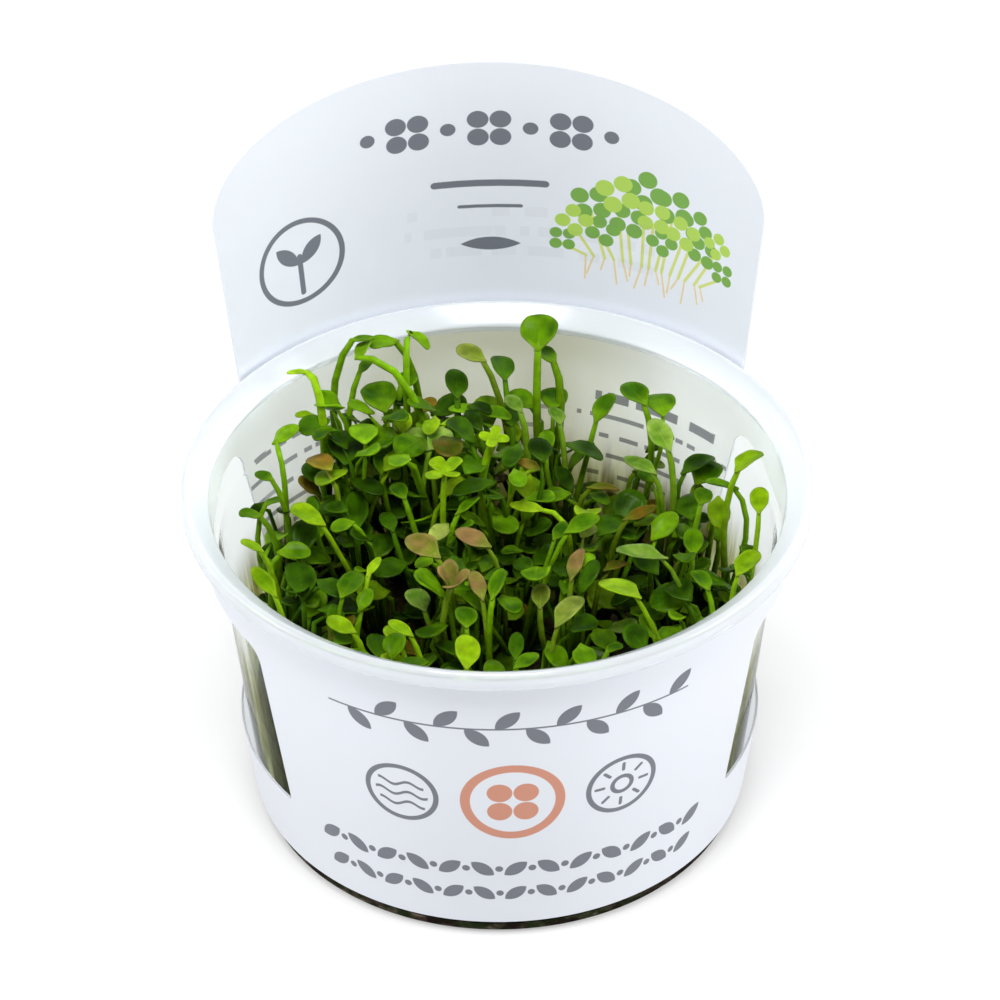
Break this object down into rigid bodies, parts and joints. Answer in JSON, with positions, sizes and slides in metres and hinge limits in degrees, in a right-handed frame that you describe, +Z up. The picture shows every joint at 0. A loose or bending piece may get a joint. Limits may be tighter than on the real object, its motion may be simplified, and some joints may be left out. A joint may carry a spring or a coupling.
{
  "type": "potted dwarf water clover",
  "caption": "Dwarf water clover plantlets with round and spoon-shaped leaves, rising from a dark medium in a clear flanged cup with a card sleeve and header.",
  "frame": {"origin": "centre of the cup's flat underside", "axes": "+Z up; the sleeve's front panel faces -Y and the tall header card stands at +Y"},
  "size_m": [0.1, 0.1062, 0.1041],
  "materials": {
    "clear_plastic": "thin translucent moulded plastic, glossy, slightly milky",
    "printed_card": null,
    "medium": "dark, moist, root-bound gel",
    "foliage_blush": "fresh aquatic leaf and stalk, smooth with a waxy sheen",
    "foliage_deep": "fresh aquatic leaf and stalk, smooth with a waxy sheen",
    "foliage_leaf": "fresh aquatic leaf and stalk, smooth with a waxy sheen",
    "foliage_lime": "fresh aquatic leaf and stalk, smooth with a waxy sheen",
    "foliage_olive": "fresh aquatic leaf and stalk, smooth with a waxy sheen",
    "foliage_pale": "fresh aquatic leaf and stalk, smooth with a waxy sheen",
    "foliage_rust": "fresh aquatic leaf and stalk, smooth with a waxy sheen"
  },
  "bodies": {
    "root": {"cup": "clear_plastic", "label_sleeve": "printed_card", "growth_medium": "medium", "plantlet_01": "foliage_leaf", "plantlet_02": "foliage_leaf", "plantlet_03": "foliage_leaf", "plantlet_04": "foliage_lime", "plantlet_05": "foliage_leaf", "plantlet_06": "foliage_leaf", "plantlet_07": "foliage_lime", "plantlet_08": "foliage_lime", "plantlet_09": "foliage_lime", "plantlet_10": "foliage_leaf", "plantlet_11": "foliage_deep", "plantlet_12": "foliage_deep", "plantlet_13": "foliage_leaf", "plantlet_14": "foliage_lime", "plantlet_15": "foliage_pale", "plantlet_16": "foliage_lime", "plantlet_17": "foliage_lime", "plantlet_18": "foliage_olive", "plantlet_19": "foliage_deep", "plantlet_20": "foliage_leaf", "plantlet_21": "foliage_pale", "plantlet_22": "foliage_leaf", "plantlet_23": "foliage_pale", "plantlet_24": "foliage_deep", "plantlet_25": "foliage_lime", "plantlet_26": "foliage_lime", "plantlet_27": "foliage_lime", "plantlet_28": "foliage_leaf", "plantlet_29": "foliage_pale", "plantlet_30": "foliage_lime", "plantlet_31": "foliage_leaf", "plantlet_32": "foliage_blush", "plantlet_33": "foliage_olive", "plantlet_34": "foliage_lime", "plantlet_35": "foliage_rust", "plantlet_36": "foliage_rust", "plantlet_37": "foliage_rust", "plantlet_38": "foliage_blush", "plantlet_39": "foliage_blush", "plantlet_40": "foliage_blush", "plantlet_41": "foliage_blush", "plantlet_42": "foliage_lime", "plantlet_43": "foliage_leaf", "plantlet_44": "foliage_leaf", "plantlet_45": "foliage_leaf", "plantlet_46": "foliage_lime", "plantlet_47": "foliage_lime", "plantlet_48": "foliage_leaf", "plantlet_49": "foliage_lime", "plantlet_50": "foliage_leaf", "plantlet_51": "foliage_leaf", "plantlet_52": "foliage_leaf", "plantlet_53": "foliage_deep", "plantlet_54": "foliage_leaf", "plantlet_55": "foliage_pale"}
  },
  "joints": []
}
